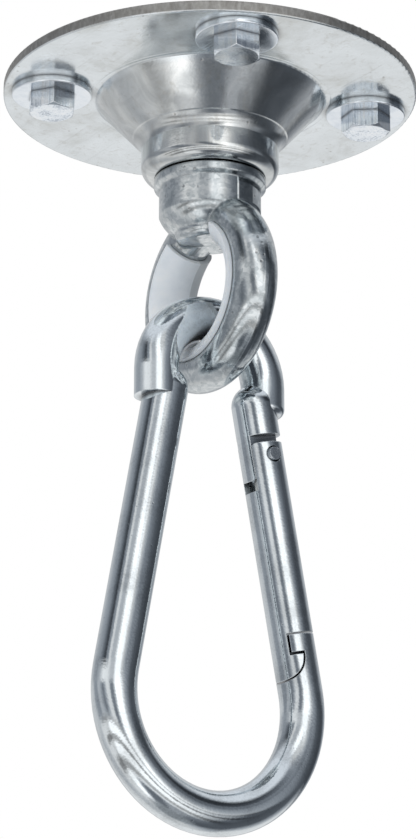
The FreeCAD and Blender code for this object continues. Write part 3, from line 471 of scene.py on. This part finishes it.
def nylon():
    """Blue-white moulded nylon with a folded flange, painted darker as shade past the fold, and faint scuffs.
    """
    look = Finish("liner_nylon", 0.5 * MM)
    cloud = look.noise(130.0, detail=4.0, roughness=0.6)
    scuffs = look.noise(900.0, detail=3.0, roughness=0.6, place=look.stretch((0.08, 1.0, 1.0)))
    reach = look.vector("LENGTH", look.combine(0.0, look.y, look.plus(look.z, RING_DEPTH)))
    wrap = look.math("ARCTAN2", look.x, look.less(RING_RADIUS, reach))
    shaded_flange = look.rise(wrap, LINER_FOLD - 0.03, LINER_FOLD + 0.03)
    look.relief(shaded_flange, 0.2 * MM, 0.8)
    look.relief(scuffs, 0.02 * MM, 0.5)
    look.relief(look.noise(420.0), 0.03 * MM, 0.4)
    return look.done({
        # Painted shade: the flange past the fold is darkened
        "Base Color": look.mix(look.times(shaded_flange, 0.85), look.ramp(cloud, LINER_WHITE), FLANGE_SHADE),
        "Roughness": look.span(scuffs, 0.35, 0.65, 0.34, 0.55),
        "IOR": 1.53,
        "Subsurface Weight": 0.25,
        "Subsurface Radius": (1.0, 0.9, 0.8),
        "Subsurface Scale": 1.2 * MM,
    })


def washer_zinc():
    """Bright washers with turning rings, a few handling marks and painted crevice shade."""
    look = Finish("washer_zinc", 0.25 * MM)
    reach = look.vector("LENGTH", look.combine(*bolt_place(look), 0.0))
    cloud = look.noise(140.0, detail=4.0, roughness=0.6)
    look.relief(look.noise(3200.0, place=look.combine(reach, 0.0, 0.0)), 0.01 * MM, 0.4)
    look.relief(look.scratches(500.0), -0.02 * MM, 0.6)
    # Painted shade in crevices
    colour = look.paint_crevice_shade(look.ramp(cloud, WASHER_BLUE), 1.5 * MM, 0.55)
    return look.metal(colour, look.span(cloud, 0.3, 0.7, 0.16, 0.07))


def bolt_zinc():
    """Pale blue zinc bolts: upright drawing lines on the flats, a rolled thread above, and painted shade in its
    grooves and crevices.
    """
    look = Finish("bolt_zinc", 0.35 * MM)
    radial, sideways = bolt_place(look)
    thread = look.thread(look.z, look.math("ARCTAN2", sideways, radial), BOLT_PITCH)
    threaded = look.rise(look.z, BOLT_THREAD_FOOT, BOLT_THREAD_FOOT + 0.3 * MM)
    lines = look.noise(1700.0, detail=3.0, roughness=0.6, place=look.stretch((1.0, 1.0, 0.04)))
    cloud = look.noise(260.0, detail=3.0, roughness=0.6)
    shade = look.weigh(lines, 0.5, cloud, 0.5)
    # Painted shade in the thread's grooves
    groove_shade = look.times(threaded, look.fall(thread, 0.05, 0.25))
    colour = look.mix(look.times(groove_shade, 0.7), look.ramp(shade, BOLT_BLUE), THREAD_GROOVE_SHADE)
    # Painted shade in crevices
    colour = look.paint_crevice_shade(colour, 2.0 * MM, 0.85)
    look.relief(look.times(thread, threaded), 0.6 * MM, 1.0)
    look.relief(lines, 0.035 * MM, 0.7)
    return look.metal(colour, look.span(shade, 0.35, 0.65, 0.20, 0.08))


def worked_steel(name, tint, low, high, edge=0.2 * MM, metallic=1.0):
    """Turned steel inside the part: rings round the main axis and a little oil."""
    look = Finish(name, edge)
    rings = look.noise(2600.0, place=look.combine(look.from_axis(), 0.0, look.z))
    cloud = look.noise(150.0, detail=4.0, roughness=0.6)
    shade = look.weigh(rings, 0.4, cloud, 0.6)
    dark = tuple(part * 0.68 for part in tint)
    look.relief(rings, 0.012 * MM, 0.5)
    look.relief(look.noise(700.0), 0.01 * MM, 0.4)
    return look.metal(look.ramp(shade, ((0.35, dark), (0.6, tint))), look.span(shade, 0.35, 0.65, low, high),
                      metallic)


def dress_nodes():
    """Give every CAD node its finish."""
    race = worked_steel("race_steel", RACE_STEEL, 0.3, 0.16)
    finishes = {
        "mounting_plate": plate_finish(),
        "mounting_bolts": bolt_zinc(),
        "mounting_washers": washer_zinc(),
        "swivel_eye": cast_zinc(),
        "eye_bush": nylon(),
        "bearing_lower_race": race,
        "bearing_upper_race": race,
        "bearing_cage": worked_steel("cage_brass", CAGE_BRASS, 0.4, 0.25),
        "bearing_balls": worked_steel("ball_chrome", BALL_CHROME, 0.1, 0.05, 0.0),
        "castle_nut": worked_steel("nut_zinc", NUT_ZINC, 0.34, 0.2, 0.4 * MM),
        "split_pin": worked_steel("pin_zinc", PIN_ZINC, 0.4, 0.28),
        "carabiner_body": bright_zinc("hook_zinc", BLUE_ZINC, 0.02, 0.07, 1600.0, 0.35 * MM, 0.92),
        "carabiner_gate": bright_zinc("gate_zinc", BLUE_ZINC, 0.02, 0.07, 1700.0, 0.35 * MM, 0.3),
        "gate_rivet": bright_zinc("rivet_zinc", RIVET_ZINC, 0.2, 0.34, 1500.0, 0.3 * MM, 0.6, (1.0, 0.05, 1.0)),
        "gate_plunger": worked_steel("plunger_steel", PLUNGER_STEEL, 0.35, 0.22, metallic=0.4),
        "gate_spring": worked_steel("spring_steel", SPRING_STEEL, 0.4, 0.26),
    }
    for name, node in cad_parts.items():
        node.data.materials.clear()
        node.data.materials.append(finishes[name])


def coil_spring():
    """The gate spring as a separate copy of its mesh, standing in for the CAD part, which is hidden."""
    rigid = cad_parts["gate_spring"]
    coil = bpy.data.objects.new("gate_coil", rigid.data.copy())
    coil.matrix_world = rigid.matrix_world
    bpy.context.scene.collection.objects.link(coil)
    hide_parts("gate_spring")
    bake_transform(coil)


def panel_tone(shade):
    """A reflected panel's colour: neutral when bright, blue when dark."""
    cool = 1.0 - min(1.0, shade / 0.5)
    return (shade * (1.0 - 0.12 * cool), shade, shade * (1.0 + 0.18 * cool))


def studio_world():
    """White seen straight on; mirrored rays meet soft panels between dark flags at both sides."""
    world = bpy.data.worlds.new("studio")
    bpy.context.scene.world = world
    world.use_nodes = True
    sky = Nodes(world.node_tree)
    way = sky.add("ShaderNodeTexCoord").outputs["Generated"]
    aside = sky.vector("DOT_PRODUCT", way, tuple(view_right))
    toward = sky.vector("DOT_PRODUCT", way, tuple(-view_level))
    height = sky.split(way)[2]
    bearing = sky.plus(sky.math("DIVIDE", sky.math("ARCTAN2", aside, toward), 2 * math.pi), 0.5)
    slant = sky.times(sky.less(height, PANEL_HEIGHT), PANEL_SLANT)
    slanted = sky.math("FRACT", sky.plus(bearing, slant))

    def row(turn, panels):
        return sky.ramp(turn, [(angle / 360 + 0.5, panel_tone(shade)) for angle, shade in panels])

    low = row(bearing, PANELS_LOW)
    barred = sky.ramp(sky.plus(height, 1.0), [(rung + 1.0, (share, share, share)) for rung, share in DARK_BARS])
    in_front = sky.fall(sky.math("ABSOLUTE", sky.less(bearing, 0.5)), *FRONT_HALF)
    low = sky.mix(in_front, low, sky.mix(1.0, low, barred, "MULTIPLY"))

    colour = sky.mix(sky.rise(height, -0.24, -0.10), low, row(slanted, PANELS_MID))
    colour = sky.mix(sky.rise(height, 0.20, 0.27), colour, row(bearing, PANELS_LEVEL))
    colour = sky.mix(sky.rise(height, 0.36, 0.46), colour, row(slanted, PANELS_HIGH))
    colour = sky.mix(sky.fall(height, -0.84, -0.72), colour, row(bearing, PANELS_NADIR))
    colour = sky.mix(sky.fall(height, -0.99, -0.93), colour, POLE_TONE)
    colour = sky.mix(sky.rise(height, 0.6, 0.8), colour, ZENITH_TONE)
    colour = sky.mix(1.0, colour, (PANEL_GAIN, PANEL_GAIN, PANEL_GAIN), "MULTIPLY")

    path = sky.add("ShaderNodeLightPath")
    colour = sky.mix(path.outputs["Is Glossy Ray"], ROOM_TONE, colour)
    colour = sky.mix(path.outputs["Is Camera Ray"], colour, WHITE)
    light = sky.add("ShaderNodeBackground")
    sky.feed(light.inputs["Color"], colour)
    light.inputs["Strength"].default_value = 1.0
    output = sky.add("ShaderNodeOutputWorld")
    sky.tree.links.new(light.outputs[0], output.inputs["Surface"])


def studio_lights():
    """A big key panel at the front left, a low fill and a panel high on the left."""
    for name, ((aside, beyond, above), size, power, colour) in LAMPS.items():
        data = bpy.data.lights.new(name, "AREA")
        data.shape = "RECTANGLE"
        data.size, data.size_y = size
        data.energy = power
        data.color = colour
        lamp = bpy.data.objects.new(name, data)
        lamp.location = LAMP_TARGET + view_right * aside + view_level * beyond + Vector((0.0, 0.0, above))
        lamp.visible_glossy = False
        lamp.visible_camera = False
        lamp.rotation_mode = "QUATERNION"
        lamp.rotation_quaternion = (LAMP_TARGET - lamp.location).to_track_quat("-Z", "Y")
        bpy.context.scene.collection.objects.link(lamp)


def studio_floor():
    """A pale sheet far below the part, brightened only where the camera sees it."""
    mesh = bpy.data.meshes.new("floor")
    half = FLOOR_SIZE / 2
    corners = [(x * half, y * half, FLOOR_HEIGHT) for x, y in ((-1, -1), (1, -1), (1, 1), (-1, 1))]
    mesh.from_pydata(corners, [], [(0, 1, 2, 3)])
    floor = bpy.data.objects.new("floor", mesh)
    bpy.context.scene.collection.objects.link(floor)
    floor.visible_glossy = False
    look = Finish("floor_paper")
    seen = look.add("ShaderNodeLightPath").outputs["Is Camera Ray"]
    mesh.materials.append(look.done({
        "Base Color": look.ramp(look.noise(6.0, detail=3.0), FLOOR_PAPER),
        "Roughness": 0.8,
        "Emission Color": (*WHITE, 1.0),
        "Emission Strength": look.times(seen, FLOOR_GLOW),
    }))


def photo_camera():
    """The photograph's view, from below and a little to the side."""
    data = bpy.data.cameras.new("camera")
    data.lens = VIEW_LENS
    data.sensor_width = SENSOR
    camera = bpy.data.objects.new("camera", data)
    ahead = view_level * math.cos(VIEW_RISE) + Vector((0.0, 0.0, math.sin(VIEW_RISE)))
    camera.location = Vector((0.0, 0.0, VIEW_HEIGHT)) + view_right * VIEW_SIDE - ahead * VIEW_DISTANCE
    camera.rotation_mode = "QUATERNION"
    camera.rotation_quaternion = ahead.to_track_quat("-Z", "Y")
    bpy.context.scene.collection.objects.link(camera)
    bpy.context.scene.camera = camera


dress_nodes()
coil_spring()
studio_world()
studio_lights()
studio_floor()
photo_camera()
bpy.context.scene.view_settings.view_transform = "Standard"
